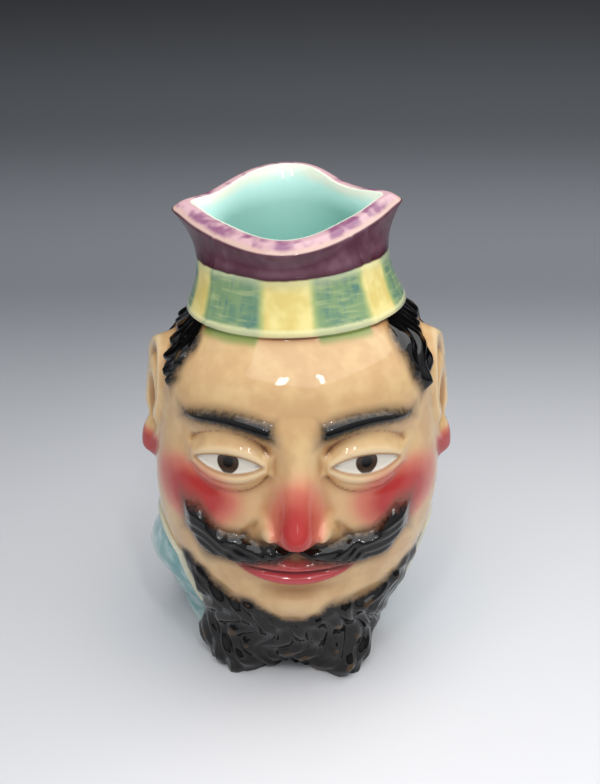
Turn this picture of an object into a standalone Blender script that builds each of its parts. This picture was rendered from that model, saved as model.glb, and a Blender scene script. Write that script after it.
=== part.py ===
"""A majolica face mug: a slip-cast earthenware jug in the form of a bearded man's head.

The whole mug is one casting, with its handle luted on while the clay was leather-hard.
The cap on the head is the neck, and the cap's pinched brim is the mouth of the mug.
The man looks along -Y, his left side is at +X, and the origin is under the middle of the
mug on the surface that it stands on.
"""

import math

import bmesh
import bpy
import numpy as np

# Driving dimensions, in metres.
HEIGHT = 0.190
WALL = 0.005
LIP_WIDTH = 0.0082
FLOOR_THICKNESS = 0.006
FOOT_RING_WIDTH = 0.007
FOOT_RECESS = 0.0015
FOOT_GRIND = 0.0004
HANDLE_WIDTH = 0.016
HANDLE_THICKNESS = 0.011
FINGER_GAP = 0.029
HANDLE_JOINT_FLARE = 0.0025

# Colours and finish of the glaze.
GLAZE_COLOUR = (0.79, 0.53, 0.30, 1.0)
GLAZE_ROUGHNESS = 0.12
GLAZE_METALLIC = 0.0

# The figure is drawn 190 units high, and every carved form below is given in those units.
UNIT = HEIGHT / 190

# How far the floor is rounded up into the wall, in units.
FLOOR_ROUNDING = 14

# How finely the clay is drawn before it is faceted.
COLUMNS = 176
ROW_STEP = 1.5
FRONT_DENSITY = 0.36
BODY_FACETS = 8600
HANDLE_SIDES = 14
HANDLE_RINGS = 20

# Head without hair, beard or cap: height, half width, depth in front, depth behind.
HEAD = np.array([
    (0, 33.5, 33, 36),
    (6, 36, 37, 38.5),
    (15, 39.5, 42, 42),
    (30, 46.4, 48.5, 46.5),
    (50, 52.2, 53.5, 51),
    (70, 56.3, 56, 55),
    (90, 55.5, 57, 58),
    (110, 53.5, 56, 59),
    (122, 51.5, 54, 57),
    (131, 47.2, 50, 52),
    (137, 42.4, 45, 46.5),
    (142.5, 37.5, 40, 40),
])
CROWN_SQUARENESS = 2.25
CHIN_SQUARENESS = 1.85
CHIN_SHIFT = -1.0

# Cap: a banded part, and above it a brim pinched to a corner at each side.
BAND_BOTTOM = 142.5
BAND_TOP = 158.4
BAND_BOTTOM_RADIUS = 42
BAND_TOP_RADIUS = 36.4
BAND_TILT = 0.07
CAP_TILT_START = 112
RIM_SIDE_HEIGHT = 176.5
RIM_FRONT_FALL = 0.27
RIM_BACK_RISE = 10.5
RIM_LEFT_DIP = 2.6
LEFT_DIP_TURN = 132
LEFT_DIP_WIDTH = 24
RIM_BEVEL = 2.0
RIM_ROUNDING = 1.4
CAP_ROLL = 0.04
CAP_LEAN = -4.0
CAP_LEAN_START = 122.5
BRIM_WAIST = 1.4
RIM_HALF_LENGTH = 44.4
RIM_CORNER_RISE = 2.0
RIM_CORNER_WIDTH = 13
RIM_HALF_WIDTH = 36.5
FRONT_ARCH = 1.1
BACK_ARCH = 1.25
CORNER_ROUNDING = 3.4

# Nose: height, how far it stands out, half width.
NOSE = np.array([
    (66, 0, 9),
    (69.5, 1.4, 9),
    (71.5, 9, 8.8),
    (74, 15.2, 8.6),
    (77, 17, 8.4),
    (82, 14.6, 7.6),
    (90, 10, 6.8),
    (98, 5.8, 6.6),
    (104, 3.8, 7.2),
    (109, 2.2, 8.5),
    (116, 0, 9),
])

# Places of the face: how high, how far to the side, and how large.
EYE_HEIGHT = 98
EYE_SIDE = 24
EYE_HALF_WIDTH = 12
EYE_RISE = 3.5
EYE_FALL = 2.9
BROW_HEIGHT = 110.5
BROW_START = 9
BROW_LENGTH = 31
CHEEK_HEIGHT = 80
CHEEK_SIDE = 37
MOUSTACHE_HEIGHT = 67
MOUSTACHE_HALF_LENGTH = 40.5
MOUTH_HEIGHT = 58.5
MOUTH_HALF_WIDTH = 23
UPPER_LIP = 5.4
LOWER_LIP = 7.4
CHIN_HEIGHT = 39

# The lapel on the man's right stands off the neck: height, how far.
LAPEL = np.array([
    (0, 7),
    (11, 9.5),
    (19, 10),
    (27, 9.4),
    (33, 11),
    (39, 11),
    (45, 8.4),
    (51, 4.4),
    (58, 2),
])
COLLAR_TOP = 50.5

# Front edge of the hair: height, turn in degrees from the front.
HAIRLINE = np.array([
    (108, 58),
    (115, 54.5),
    (120, 52),
    (129, 48.5),
    (136, 48),
    (142.5, 54),
])
RIGHT_HAIR_SHIFT = 3.5
SIDEBURN_FOOT = 116
SIDEBURN_TURN = 55
SIDEBURN_SLOPE = 1.9
OVER_EAR = 131
NAPE_TURN = 104

# Edges of the beard and collar: heights, and turns in degrees from the front.
BEARD_TOP = 33
BEARD_RIGHT_RISE = 14
BEARD_LEFT_RISE = 12
BEARD_RIGHT_SIDE = 53.5
BEARD_RIGHT_SPREAD = 16
BEARD_LEFT_SIDE = 66
BEARD_LEFT_SPREAD = 8
RIGHT_LOBE = 10
LEFT_LOBE = 11
LOBE_TURN = 25.5
RIGHT_FLANK = 4.5
COLLAR_BACK_TURN = 105
COLLAR_BACK_RISE = 3
COLLAR_SIDE_TURN = 78
COLLAR_SIDE_RISE = 9.5

# Ears: height of the middle, half height, half width, and how far each one stands out.
EAR_MIDDLE = 106.5
EAR_HALF_HEIGHT = 26
EAR_HALF_WIDTH = 18
EAR_FORWARD = 5
RIGHT_EAR_REACH = 6.4
LEFT_EAR_REACH = 5.6

# Handle's line behind the head: share of its length, share of its reach, height.
HANDLE_LINE = np.array([
    (0.00, 0.00, 111),
    (0.14, 0.34, 114.5),
    (0.32, 0.80, 111.5),
    (0.50, 1.00, 95),
    (0.66, 0.90, 77),
    (0.84, 0.46, 62),
    (1.00, 0.00, 56),
])

# Locks of the hair and beard: how many side by side round the head, length, and height.
LOCK_COUNT = 42
LOCK_LENGTH = 12.5
LOCK_HEIGHT = 2.5
LOCK_WAVE = 0.46


def smooth_through(at, stations, column):
    """Natural cubic curve through the stations, read at each value of at."""
    x = stations[:, 0]
    y = stations[:, column]
    count = len(x)
    gap = np.diff(x)
    matrix = np.eye(count)
    right = np.zeros(count)
    for i in range(1, count - 1):
        matrix[i, i - 1:i + 2] = gap[i - 1], 2 * (gap[i - 1] + gap[i]), gap[i]
        right[i] = 6 * ((y[i + 1] - y[i]) / gap[i] - (y[i] - y[i - 1]) / gap[i - 1])
    bend = np.linalg.solve(matrix, right)
    at = np.clip(at, x[0], x[-1])
    i = np.clip(np.searchsorted(x, at) - 1, 0, count - 2)
    a = (x[i + 1] - at) / gap[i]
    b = (at - x[i]) / gap[i]
    curve = (a ** 3 - a) * bend[i] + (b ** 3 - b) * bend[i + 1]
    return a * y[i] + b * y[i + 1] + curve * gap[i] ** 2 / 6


def ramp(low, high, value):
    """0 up to low, 1 from high, and an S between them."""
    t = np.clip((value - low) / (high - low), 0, 1)
    return t * t * (3 - 2 * t)


def mound(value, width):
    """A round-topped swelling about value 0."""
    return np.exp(-(value / width) ** 2)


def head_radius(turn, height):
    """Distance of the bare head from its axis."""
    side, front, back = (smooth_through(height, HEAD, column) for column in (1, 2, 3))
    depth = np.where(np.cos(turn) > 0, front, back)
    power = CHIN_SQUARENESS + (CROWN_SQUARENESS - CHIN_SQUARENESS) * ramp(15, 65, height)
    across = np.abs(np.sin(turn) / side) ** power
    along = np.abs(np.cos(turn) / depth) ** power
    return (across + along) ** (-1 / power)


def lens_radius(turn):
    """Plan of the pinched mouth: an arch in front and a sharper one behind, meeting in two corners."""
    along = np.linspace(0, 1, 181)
    arches = [RIM_HALF_WIDTH * np.cos(along * math.pi / 2) ** power for power in (FRONT_ARCH, BACK_ARCH)]
    turns = [np.arctan2(along * RIM_HALF_LENGTH, arch) for arch in arches]
    reaches = [np.hypot(along * RIM_HALF_LENGTH, arch) for arch in arches]
    all_turns = np.concatenate([turns[0], math.pi - turns[1][-2::-1]])
    all_reaches = np.concatenate([reaches[0], reaches[1][-2::-1]])
    folded = np.abs((turn + math.pi) % (2 * math.pi) - math.pi)
    rounded = [
        np.interp(math.pi - np.abs(math.pi - np.abs(folded + shift)), all_turns, all_reaches)
        for shift in np.radians(CORNER_ROUNDING) * np.linspace(-1, 1, 5)]
    return sum(rounded) / len(rounded)


def cap_radius(turn, label):
    """Distance of the cap from its own axis, up the band and then up the brim."""
    down = np.clip((BAND_TOP - label) / (BAND_TOP - BAND_BOTTOM), 0, 1)
    up = np.clip((label - BAND_TOP) / (RIM_SIDE_HEIGHT - BAND_TOP), 0, 1)
    band = BAND_TOP_RADIUS + (BAND_BOTTOM_RADIUS - BAND_TOP_RADIUS) * down ** 1.5
    brim = (lens_radius(turn) - BAND_TOP_RADIUS) * up ** 1.35 - BRIM_WAIST * np.sin(math.pi * up)
    return band + brim


def cap_shift(label):
    """How far the cap leans sideways at a height."""
    return CAP_LEAN * np.clip((label - CAP_LEAN_START) / (RIM_SIDE_HEIGHT - CAP_LEAN_START), 0, 1) ** 2


def chin_shift(label):
    """How far the lower head stands to the man's right of its crown."""
    return CHIN_SHIFT * (1 - ramp(30, 105, label))


def cap_height(turn, label, x, y):
    """Height of a place on the head or cap: the cap rolls to one side and tilts up at the back."""
    up = np.clip((label - BAND_TOP) / (RIM_SIDE_HEIGHT - BAND_TOP), 0, 1)
    roll = CAP_ROLL * x * ramp(CAP_TILT_START, BAND_BOTTOM, label)
    tilt = BAND_TILT * y * np.interp(label, (CAP_TILT_START, BAND_BOTTOM, BAND_TOP), (0, 1, 0))
    degrees = np.degrees(turn)
    corner = RIM_CORNER_RISE * mound(np.abs(degrees) - 90, RIM_CORNER_WIDTH)
    dip = RIM_LEFT_DIP * mound(degrees - LEFT_DIP_TURN, LEFT_DIP_WIDTH)
    behind = -RIM_BACK_RISE * np.cos(turn) - dip
    rise = np.where(y < 0, RIM_FRONT_FALL * y, behind) + corner
    return label + roll + tilt + rise * up


def nose_form(x, z):
    """How far the nose stands out in front of the face."""
    height = smooth_through(z, NOSE, 1)
    width = smooth_through(z, NOSE, 2)
    ridge = height * np.exp(-np.abs(x / width) ** 2.6)
    wing = 10.5 * mound(np.hypot((np.abs(x) - 9.0) / 4.3, (z - 75.2) / 4.6), 1)
    blend = 2.5
    overlap = np.clip(blend - np.abs(ridge - wing), 0, None)
    return np.maximum(ridge, wing) + overlap ** 2 / (4 * blend)


def eye_opening(x, z):
    """Above 0 inside the eye's opening, below 0 outside it."""
    across = (np.abs(x) - EYE_SIDE) / EYE_HALF_WIDTH
    arch = np.clip(1 - across ** 2, 0, None)
    upper = EYE_HEIGHT + EYE_RISE * arch ** 0.8
    lower = EYE_HEIGHT - EYE_FALL * arch
    return np.minimum(np.minimum(upper - z, z - lower), EYE_HALF_WIDTH * (1 - np.abs(across)))


def eye_form(x, z):
    """Socket, eyeball, lids and the opening between them."""
    aside = np.abs(x) - EYE_SIDE
    up = z - EYE_HEIGHT
    socket = -4.2 * np.exp(-((aside + 1) / 13.5) ** 2 - ((up - 2) / 9) ** 2)
    ball = 5.6 * np.clip(1 - (aside / 14.5) ** 2 - ((up - 0.3) / 11) ** 2, 0, 1) ** 0.7
    opening = eye_opening(x, z)
    lid = 1.6 * ramp(-4.8, -1.8, opening) * (1 - ramp(-0.9, 0.9, opening))
    crease = -1.0 * mound(opening + 6.2, 1.8) * ramp(0, 4, up) * (1 - ramp(12, 16, np.abs(aside)))
    return socket + ball + lid + crease


def lip_form(x, z):
    """Closed lips on the rounding of the mouth."""
    a = np.clip(np.abs(x) / MOUTH_HALF_WIDTH, 0, 1)
    line = MOUTH_HEIGHT + 0.8 * a ** 2
    top = line + UPPER_LIP * (1 - a ** 1.7) - 1.2 * mound(x, 2.6) + 0.05
    bottom = line - LOWER_LIP * (1 - a ** 2.2) - 0.05
    upper = np.clip((z - line) / (top - line), 0, 1)
    lower = np.clip((line - z) / (line - bottom), 0, 1)
    taper = np.sqrt(1 - a ** 2)
    roll = 3.4 * np.sin(math.pi * (0.2 + 0.8 * upper)) * (z >= line) * (upper < 1)
    pout = 4.8 * np.sin(math.pi * (0.2 + 0.8 * lower)) * (z < line) * (lower < 1)
    groove = -1.6 * mound(z - line, 0.9)
    return (roll + pout + groove) * taper


def brow_form(x, z):
    """Eyebrows, as thick strokes of clay."""
    past_start = np.abs(x) - BROW_START
    along = np.clip(past_start / BROW_LENGTH, 0, 1)
    middle = BROW_HEIGHT + 3.2 * np.sin(math.pi * along * 0.9)
    half = 3.3 * np.sqrt(np.clip(1 - (2 * along - 0.85) ** 4 / 2.2, 0, 1)) * (1 - 0.45 * along)
    ends = ramp(-1.5, 1, past_start) * (1 - ramp(-2, 1, past_start - BROW_LENGTH))
    return 1.5 * ramp(0, 1.6, half - np.abs(z - middle)) * ends


def moustache_line(x):
    """Height of the middle of the moustache, which turns up at its ends."""
    a = np.abs(x)
    return MOUSTACHE_HEIGHT - 1.9 * ramp(0, 16, a) + 9.5 * ramp(25, 42, a) ** 1.2


def moustache_edge(x, z):
    """Above 0 inside the moustache, below 0 outside it."""
    a = np.abs(x)
    half = 1.5 + 2.2 * ramp(0, 8, a) + 2.4 * ramp(10, 24, a) - 3.0 * ramp(33, 41, a)
    steep = 1 + 0.7 * ramp(26, 36, a)
    return np.minimum(half - np.abs(z - moustache_line(x)) / steep, MOUSTACHE_HALF_LENGTH - a)


def face_form(x, z):
    """How far the face stands out along -Y from the bare head."""
    a = np.abs(x)
    muzzle = 4.2 * np.exp(-(x / MOUTH_HALF_WIDTH) ** 2 - ((z - MOUTH_HEIGHT - 2.5) / 14) ** 2)
    chin = 4.0 * np.exp(-(x / 15) ** 2 - ((z - CHIN_HEIGHT) / 8) ** 2)
    under_lip = -2.0 * np.exp(-(x / 15) ** 2 - ((z - CHIN_HEIGHT - 9.5) / 3.2) ** 2)
    cheek = 3.6 * np.exp(-((a - CHEEK_SIDE) / 12) ** 2 - ((z - CHEEK_HEIGHT) / 12) ** 2)
    fold_line = 13 + (77 - z) * 0.85
    fold = -1.3 * mound(a - fold_line, 2.6) * ramp(56, 63, z) * (1 - ramp(76, 81, z))
    brow_bone = 2.4 * mound(z - BROW_HEIGHT + 1, 5) * ramp(3, 12, a) * (1 - ramp(32, 44, a))
    temple = -1.6 * np.exp(-((a - 46) / 7) ** 2 - ((z - 106) / 11) ** 2)
    groove = -0.8 * mound(x, 1.8) * ramp(63, 65, z) * (1 - ramp(69, 71, z))
    moustache = 4.4 * ramp(-0.8, 3.0, moustache_edge(x, z))
    skin = muzzle + chin + under_lip + cheek + fold + brow_bone + temple + groove
    return skin + nose_form(x, z) + eye_form(x, z) + lip_form(x, z) + brow_form(x, z) + moustache


def ear_place(y, z):
    """Place on an ear: across it, up it, and from its middle to 1 at its edge."""
    up = (z - EAR_MIDDLE) / EAR_HALF_HEIGHT
    lobe = ramp(0.1, -0.95, up)
    across = (y + EAR_FORWARD + 3.5 * lobe) / (EAR_HALF_WIDTH * (1 - 0.47 * lobe))
    return across, up, np.hypot(across, up)


def ear_form(y, z):
    """How far an ear stands out sideways from the head, as a share of its reach."""
    across, up, out = ear_place(y, z)
    wedge = 0.10 + 0.90 * ramp(-1.0, 0.45, across)
    pinch = 1 - 0.32 * mound(up + 0.42, 0.14)
    body = (1 - ramp(0.86, 1.06, out)) * wedge * pinch
    helix = 0.20 * mound(out - 0.85, 0.09) * ramp(-0.4, 0.0, up)
    groove = -0.42 * mound(out - 0.67, 0.09) * ramp(-0.35, 0.0, up + 0.3 * across)
    bowl_reach = np.hypot((across + 0.10) / 0.42, (up + 0.10) / 0.44)
    bowl = -0.56 * (1 - ramp(0.5, 1.1, bowl_reach))
    notch = -0.22 * mound(np.hypot((across + 0.35) / 0.22, (up + 0.45) / 0.16), 1)
    flap = 0.20 * mound(np.hypot((across + 0.70) / 0.16, (up + 0.18) / 0.15), 1)
    return body + (helix + groove + bowl + notch + flap) * (1 - ramp(0.90, 1.02, out))


def ear_cover(y, z):
    """1 on an ear and 0 away from it."""
    return 1 - ramp(1.0, 1.15, ear_place(y, z)[2])


def lock_place(turn, z):
    """Place on the wavy locks: across one from -0.5 to 0.5, and turns of its swelling along it."""
    around = turn * LOCK_COUNT / (2 * math.pi)
    around = around + LOCK_WAVE * np.sin(z / 5 + turn * 3) + 0.5 * LOCK_WAVE * np.sin(z / 3.4 + turn * 8)
    lock = np.round(around)
    stagger = 0.5 * (lock % 2) + 0.18 * np.sin(lock % LOCK_COUNT * 5.3)
    return around - lock, z / LOCK_LENGTH + stagger


def lock_form(turn, z):
    """Relief of the locks: rounded strands that swell and thin along their length."""
    across, along = lock_place(turn, z)
    swell = 0.5 + 0.5 * np.cos(2 * math.pi * along)
    return LOCK_HEIGHT * np.cos(math.pi * across) ** 0.8 * (0.36 + 0.64 * swell)


def beard_top(turn):
    """Height of the beard's upper edge, from the chin round to below the ears."""
    a = np.abs(np.degrees(turn))
    rise = np.where(turn < 0, BEARD_RIGHT_RISE * ramp(24, 50, a), BEARD_LEFT_RISE * ramp(28, 62, a))
    return BEARD_TOP + 6.5 * ramp(5, 18, a) + rise


def beard_side(turn, z):
    """Degrees from the front at which the beard ends and the collar begins."""
    right_side = BEARD_RIGHT_SIDE + BEARD_RIGHT_SPREAD * ramp(24, 4, z)
    left_side = BEARD_LEFT_SIDE + BEARD_LEFT_SPREAD * ramp(40, 10, z)
    return np.where(turn < 0, right_side, left_side)


def beard_edge(turn, z):
    """Above 0 inside the beard, below 0 outside it, in units."""
    return np.minimum(beard_top(turn) - z, (beard_side(turn, z) - np.abs(np.degrees(turn))) * 0.9)


def collar_edges(turn, z):
    """Distances below the collar's top and behind the beard's side, in units; below 0 outside them."""
    a = np.abs(np.degrees(turn))
    side = COLLAR_SIDE_RISE * ramp(COLLAR_SIDE_TURN - 26, COLLAR_SIDE_TURN, a)
    top = COLLAR_TOP + side + COLLAR_BACK_RISE * ramp(COLLAR_BACK_TURN, COLLAR_BACK_TURN + 60, a)
    return top - z, (a - beard_side(turn, z)) * 0.9


def collar_edge(turn, z):
    """Above 0 inside the collar, below 0 outside it, in units."""
    return np.minimum(*collar_edges(turn, z))


def hair_edge(turn, z):
    """Above 0 inside the hair at the sides and back of the head, below 0 outside it."""
    degrees = np.degrees(turn)
    a = np.abs(degrees)
    front = smooth_through(z, HAIRLINE, 1) + RIGHT_HAIR_SHIFT * (degrees < 0)
    foot = np.minimum(SIDEBURN_FOOT + (a - SIDEBURN_TURN) / SIDEBURN_SLOPE, OVER_EAR)
    before_ear = np.minimum((a - front) * 0.9, z - foot)
    nape = NAPE_TURN + 3 * np.sin(z / 7)
    behind_ear = np.minimum((a - nape) * 0.9, z - COLLAR_TOP)
    return np.maximum(before_ear, behind_ear)


def lobe(degrees, inner, outer):
    """A swelling about 0 degrees that falls off faster on its inner side."""
    return mound(degrees, np.where(degrees < 0, inner, outer))


def beard_form(turn, z):
    """How far the beard stands out from the bare head, lobes at its foot included."""
    degrees = np.degrees(turn)
    inside = ramp(-0.5, 4.5, beard_edge(turn, z))
    base = 2.8 - 2.3 * ramp(30, 58, np.abs(degrees))
    left = LEFT_LOBE * lobe(degrees - LOBE_TURN + 1.5, 9, 24)
    right = RIGHT_LOBE * lobe(-degrees - LOBE_TURN - 4.5, 10, 32)
    flank = RIGHT_FLANK * ramp(34, 60, -degrees) * (1 - ramp(20, 34, z))
    notch = -4.6 * mound(degrees + 3, 8) * (1 - ramp(0, 9, z))
    return inside * (base + (left + right) * (1 - ramp(2, 26, z)) + flank + notch)


def collar_form(turn, z):
    """How far the collar stands out, with a rolled edge and the open lapel."""
    below_top, past_beard = collar_edges(turn, z)
    edge = np.minimum(below_top, past_beard)
    degrees = np.degrees(turn)
    opening = ramp(0, 9, below_top) * ramp(0, 1, past_beard / (5 + 26 * ramp(0, 20, z)))
    behind = ramp(COLLAR_BACK_TURN, COLLAR_BACK_TURN + 38, np.abs(degrees))
    lapel = smooth_through(z, LAPEL, 1) * opening * (1 - behind) * (degrees < 0)
    plain = 1.3 + 1.7 * behind
    rolled = 0.8 * mound(edge - 1.6, 1.3) * (degrees < 0)
    gather = 0.9 * np.sin(turn * 9 + z * 0.09) * behind * ramp(2, 20, z)
    return ramp(-0.4, 1.4, edge) * (np.maximum(plain, lapel) + rolled + gather)


def outer_place(turn, label):
    """Place of the glazed outside at a turn from the front and a height up the mug."""
    on_cap = ramp(BAND_BOTTOM - 0.6, BAND_BOTTOM + 0.1, label)
    z = np.minimum(label, BAND_BOTTOM)
    radius = head_radius(turn, z)
    x = radius * np.sin(turn)
    y = -radius * np.cos(turn)

    on_ear = ear_cover(y, z) * ramp(40, 60, np.abs(np.degrees(turn)))
    hair = ramp(-0.5, 2.5, hair_edge(turn, z)) * (1 - on_ear)
    collar = ramp(-0.4, 1.4, collar_edge(turn, z))
    beard = ramp(-0.5, 4.5, beard_edge(turn, z))
    locks = lock_form(turn, z) * np.clip(hair + beard, 0, 1) * (1 - collar)
    fade_up = 1 - ramp(BAND_BOTTOM - 9, BAND_BOTTOM - 1, z)
    fade_low = 1 - 0.5 * ramp(35, 60, np.abs(np.degrees(turn))) * ramp(70, 50, z)
    radius = radius + (1.0 * hair + locks * fade_low) * fade_up
    radius = radius + beard_form(turn, z) + collar_form(turn, z)

    face = face_form(x, z) * ramp(0.15, 0.45, np.cos(turn)) * (1 - ramp(124, 136, z))
    ear_reach = np.where(turn < 0, -RIGHT_EAR_REACH, LEFT_EAR_REACH)
    head_x = radius * np.sin(turn) + ear_form(y, z) * ear_reach + chin_shift(label)
    head_y = -radius * np.cos(turn) - face * (1 - 0.75 * beard)

    cap = cap_radius(turn, label)
    place_x = head_x * (1 - on_cap) + cap * np.sin(turn) * on_cap + cap_shift(label)
    place_y = head_y * (1 - on_cap) - cap * np.cos(turn) * on_cap
    return place_x, place_y, cap_height(turn, label, place_x, place_y)


def inner_place(turn, label):
    """Place of the glazed inside, a wall's thickness in from the smooth head and the cap."""
    wall = WALL / UNIT
    head = head_radius(turn, np.minimum(label, BAND_BOTTOM - 6)) - wall
    up = ramp(BAND_TOP, RIM_SIDE_HEIGHT, label)
    cap = cap_radius(turn, np.maximum(label, BAND_BOTTOM)) - wall - (LIP_WIDTH / UNIT - wall) * up
    on_cap = ramp(BAND_BOTTOM - 10, BAND_BOTTOM + 6, label)
    radius = head * (1 - on_cap) + cap * on_cap
    place_x = radius * np.sin(turn) + cap_shift(label) + chin_shift(label)
    place_y = -radius * np.cos(turn)
    rise = np.clip((label - BAND_TOP) / (RIM_SIDE_HEIGHT - BAND_TOP), 0, 1)
    return place_x, place_y, cap_height(turn, label, place_x, place_y) + RIM_BEVEL * rise


# The plain cup that is turned first: its outside has radius 1 and its inside radius 0.5, and
# a corner's height on it is the label that the two functions above read.
OUTSIDE = 1.0
INSIDE = 0.5
RIM_LABEL = RIM_SIDE_HEIGHT
FOOT_LABEL = -10.0
RECESS_SHARE = 0.8
RING_SHARE = 0.85
FLOOR_SHARES = (0.85, 0.6, 0.3, 0.0)
LIP_SHARES = (0.25, 0.5, 0.75)
INNER_STEP = 5.0


def cup_profile():
    """Corners of the plain cup's section, from under its foot, up, over the lip and down inside."""
    profile = [(share, FOOT_LABEL) for share in (0.0, RECESS_SHARE / 2, RECESS_SHARE, RING_SHARE)]
    rows = int(BAND_BOTTOM / ROW_STEP)
    for row in range(rows):
        profile.append((OUTSIDE, (BAND_BOTTOM - 0.7) * row / (rows - 1)))
    profile.append((OUTSIDE, BAND_BOTTOM + 0.2))
    rows = int((RIM_LABEL - BAND_BOTTOM) / (1.6 * ROW_STEP))
    for row in range(1, rows + 1):
        profile.append((OUTSIDE, BAND_BOTTOM + 0.2 + (RIM_LABEL - BAND_BOTTOM - 0.2) * row / rows))
    for share in LIP_SHARES:
        profile.append((OUTSIDE + (INSIDE - OUTSIDE) * share, RIM_LABEL))
    rows = int(RIM_LABEL / INNER_STEP)
    for row in range(rows + 1):
        profile.append((INSIDE, RIM_LABEL * (1 - row / rows)))
    for share in FLOOR_SHARES:
        profile.append((INSIDE * share, 0.0))
    return profile


def turned_cup():
    """The plain cup, spun once round its axis."""
    cup = bmesh.new()
    corners = [cup.verts.new((0.0, -radius, label)) for radius, label in cup_profile()]
    edges = [cup.edges.new(pair) for pair in zip(corners, corners[1:])]
    bmesh.ops.spin(
        cup, geom=corners + edges, cent=(0, 0, 0), axis=(0, 0, 1),
        angle=2 * math.pi, steps=COLUMNS, use_merge=True)
    bmesh.ops.remove_doubles(cup, verts=cup.verts, dist=1e-5)
    bmesh.ops.recalc_face_normals(cup, faces=cup.faces)
    return cup


def shape_cup(cup):
    """Move every corner of the plain cup to its place on the figure."""
    flat = np.array([corner.co for corner in cup.verts])
    reach = np.hypot(flat[:, 0], flat[:, 1])
    even_turn = np.arctan2(flat[:, 0], -flat[:, 1])
    turn = even_turn - FRONT_DENSITY * np.sin(even_turn)
    label = flat[:, 2]

    outer = np.stack(outer_place(turn, np.clip(label, 0, RIM_LABEL)), axis=1)
    floor = FLOOR_THICKNESS / UNIT
    inner_label = floor + np.clip(label, 0, RIM_LABEL) * (RIM_LABEL - floor) / RIM_LABEL
    inner = np.stack(inner_place(turn, inner_label), axis=1)

    place = outer.copy()
    underside = label < -0.5
    inside = (reach <= INSIDE + 1e-4) & ~underside
    lip = (reach < OUTSIDE - 1e-4) & ~inside & ~underside

    over = (OUTSIDE - reach) / (OUTSIDE - INSIDE)
    rounding = RIM_ROUNDING * np.sin(math.pi * over)
    across = outer * (1 - over[:, None]) + inner * over[:, None]
    across[:, 2] += rounding
    place[lip] = across[lip]

    from_floor = np.clip((inner_label - floor) / FLOOR_ROUNDING, 0, 1)
    cove = FLOOR_ROUNDING * (1 - np.sqrt(1 - (1 - from_floor) ** 2))
    inner[:, 0] -= cove * np.sin(turn)
    inner[:, 1] += cove * np.cos(turn)
    place[inside] = inner[inside]
    on_floor = inside & (reach < INSIDE - 1e-4)
    place[on_floor, :2] = inner[on_floor, :2] * (reach[on_floor] / INSIDE)[:, None]

    ring = FOOT_RING_WIDTH / UNIT
    recess = FOOT_RECESS / UNIT
    inner_edge = head_radius(turn, 0 * turn) - ring
    on_ring = reach > (RECESS_SHARE + RING_SHARE) / 2
    inward = np.where(on_ring, inner_edge, (inner_edge - recess) * reach / RECESS_SHARE)
    place[underside, 0] = (inward * np.sin(turn) + chin_shift(0.0))[underside]
    place[underside, 1] = (-inward * np.cos(turn))[underside]
    place[underside, 2] = np.where(on_ring, 0.0, recess)[underside]

    for corner_vertex, spot in zip(cup.verts, place * UNIT):
        corner_vertex.co = spot


def handle_place(share):
    """Middle of the handle at a share of its length: how far behind the axis, and how high."""
    height = smooth_through(share, HANDLE_LINE, 2)
    root = head_radius(np.full(share.shape, math.pi), height) * UNIT - 0.4 * WALL
    reach = 0.4 * WALL + FINGER_GAP + HANDLE_THICKNESS / 2
    return root + smooth_through(share, HANDLE_LINE, 1) * reach, height * UNIT


def make_handle():
    """The loop handle: a flattened rod bent along its line, thicker where it joins the head."""
    rod = bmesh.new()
    bmesh.ops.create_cone(
        rod, cap_ends=True, segments=HANDLE_SIDES, radius1=0.5, radius2=0.5, depth=1.0)
    long_edges = [edge for edge in rod.edges if abs(edge.verts[0].co.z - edge.verts[1].co.z) > 0.5]
    bmesh.ops.subdivide_edges(rod, edges=long_edges, cuts=HANDLE_RINGS, use_grid_fill=True)
    flat = np.array([corner.co for corner in rod.verts])
    share = flat[:, 2] + 0.5
    y, z = handle_place(share)
    step = 1e-3
    ahead_y, ahead_z = handle_place(np.clip(share + step, 0, 1))
    behind_y, behind_z = handle_place(np.clip(share - step, 0, 1))
    length = np.hypot(ahead_y - behind_y, ahead_z - behind_z)
    along_y = (ahead_y - behind_y) / length
    along_z = (ahead_z - behind_z) / length
    flare = 1 - ramp(0, 0.16, np.minimum(share, 1 - share))
    half_width = flat[:, 0] * (HANDLE_WIDTH + 2 * HANDLE_JOINT_FLARE * flare)
    half_depth = flat[:, 1] * (HANDLE_THICKNESS + 2 * HANDLE_JOINT_FLARE * flare)
    for corner, spot in zip(rod.verts, zip(half_width, y - along_z * half_depth, z + along_y * half_depth)):
        corner.co = spot
    bmesh.ops.recalc_face_normals(rod, faces=rod.faces)
    return new_object("handle_blank", rod)


def new_object(name, shape):
    """A scene object holding a bmesh."""
    mesh = bpy.data.meshes.new(name)
    shape.to_mesh(mesh)
    shape.free()
    made = bpy.data.objects.new(name, mesh)
    bpy.context.collection.objects.link(made)
    return made


def glaze():
    """Clear lead glaze over painted earthenware."""
    material = bpy.data.materials.new("majolica_glaze")
    material.use_nodes = True
    shader = material.node_tree.nodes["Principled BSDF"]
    shader.inputs["Base Color"].default_value = GLAZE_COLOUR
    shader.inputs["Roughness"].default_value = GLAZE_ROUGHNESS
    shader.inputs["Metallic"].default_value = GLAZE_METALLIC
    material.diffuse_color = GLAZE_COLOUR
    return material


def bake_modifiers(target):
    """Turn an object's modifiers into its mesh."""
    bpy.context.view_layer.update()
    graph = bpy.context.evaluated_depsgraph_get()
    finished = bpy.data.meshes.new_from_object(target.evaluated_get(graph))
    target.modifiers.clear()
    target.data = finished


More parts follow.
